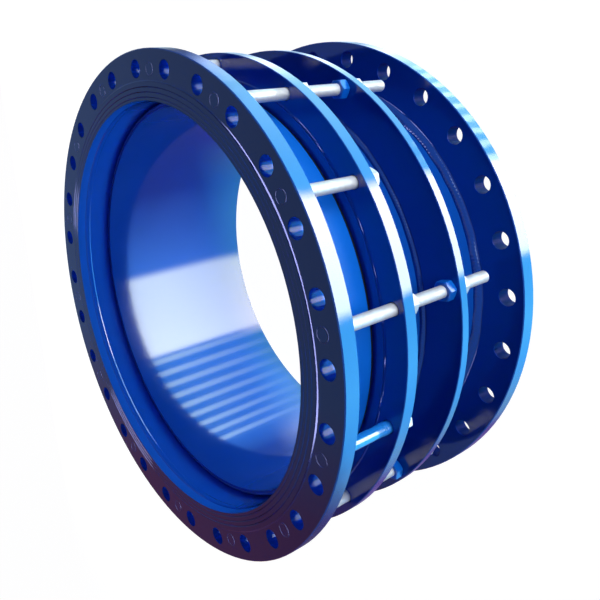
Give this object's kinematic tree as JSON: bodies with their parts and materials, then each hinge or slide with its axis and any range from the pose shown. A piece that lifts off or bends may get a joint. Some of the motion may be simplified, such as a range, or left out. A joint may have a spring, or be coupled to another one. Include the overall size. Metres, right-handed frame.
{
  "type": "dismantling joint",
  "caption": "Double-flanged telescoping pipe joint: a body with a barrel and gasket, a gland ring, and a sliding spigot locked by tie rods.",
  "frame": {"origin": "centre of the rear flange's raised face, on which the joint stands", "axes": "+Z along the pipe axis towards the front flange; one tie rod stands at -Y"},
  "size_m": [1.2548, 1.255, 0.596],
  "materials": {
    "blue_coating": "glossy fusion-bonded coating",
    "zinc_plated_steel": "bright zinc plating",
    "gasket_rubber": "matt EPDM"
  },
  "bodies": {
    "spigot": {"spigot_pipe": "blue_coating", "rear_flange": "blue_coating", "limit_ring": "blue_coating", "limit_weld_front": "blue_coating", "limit_weld_rear": "blue_coating", "rear_weld_front": "blue_coating", "rear_weld_inner": "blue_coating", "lock_nut_front_1": "blue_coating", "lock_nut_front_2": "blue_coating", "lock_nut_front_3": "blue_coating", "lock_nut_front_4": "blue_coating", "lock_nut_front_5": "blue_coating", "lock_nut_front_6": "blue_coating", "lock_nut_front_7": "blue_coating", "lock_nut_rear_1": "zinc_plated_steel", "lock_nut_rear_2": "zinc_plated_steel", "lock_nut_rear_3": "zinc_plated_steel", "lock_nut_rear_4": "zinc_plated_steel", "lock_nut_rear_5": "zinc_plated_steel", "lock_nut_rear_6": "zinc_plated_steel", "lock_nut_rear_7": "zinc_plated_steel"},
    "body": {"front_flange": "blue_coating", "barrel": "blue_coating", "barrel_weld_outer": "blue_coating", "barrel_weld_inner": "blue_coating", "gasket": "gasket_rubber", "tie_rod_1": "zinc_plated_steel", "tie_rod_2": "zinc_plated_steel", "tie_rod_3": "zinc_plated_steel", "tie_rod_4": "zinc_plated_steel", "tie_rod_5": "zinc_plated_steel", "tie_rod_6": "zinc_plated_steel", "tie_rod_7": "zinc_plated_steel", "gland_stud_1": "zinc_plated_steel", "gland_stud_2": "zinc_plated_steel", "gland_stud_3": "zinc_plated_steel", "gland_stud_4": "zinc_plated_steel", "gland_stud_5": "zinc_plated_steel", "gland_stud_6": "zinc_plated_steel", "gland_stud_7": "zinc_plated_steel"},
    "gland": {"gland_ring": "blue_coating", "gland_nut_01": "zinc_plated_steel", "gland_nut_02": "zinc_plated_steel", "gland_nut_03": "zinc_plated_steel", "gland_nut_04": "zinc_plated_steel", "gland_nut_05": "zinc_plated_steel", "gland_nut_06": "zinc_plated_steel", "gland_nut_07": "zinc_plated_steel", "gland_nut_08": "zinc_plated_steel", "gland_nut_09": "zinc_plated_steel", "gland_nut_10": "zinc_plated_steel", "gland_nut_11": "zinc_plated_steel", "gland_nut_12": "zinc_plated_steel", "gland_nut_13": "zinc_plated_steel", "gland_nut_14": "zinc_plated_steel"}
  },
  "joints": [
    {"name": "telescope", "type": "slide", "parent": "spigot", "child": "body", "axis": [0, 0, 1], "range_m": [-0.05, 0.05]},
    {"name": "gland_travel", "type": "slide", "parent": "body", "child": "gland", "axis": [0, 0, -1], "range_m": [0, 0.015]}
  ]
}
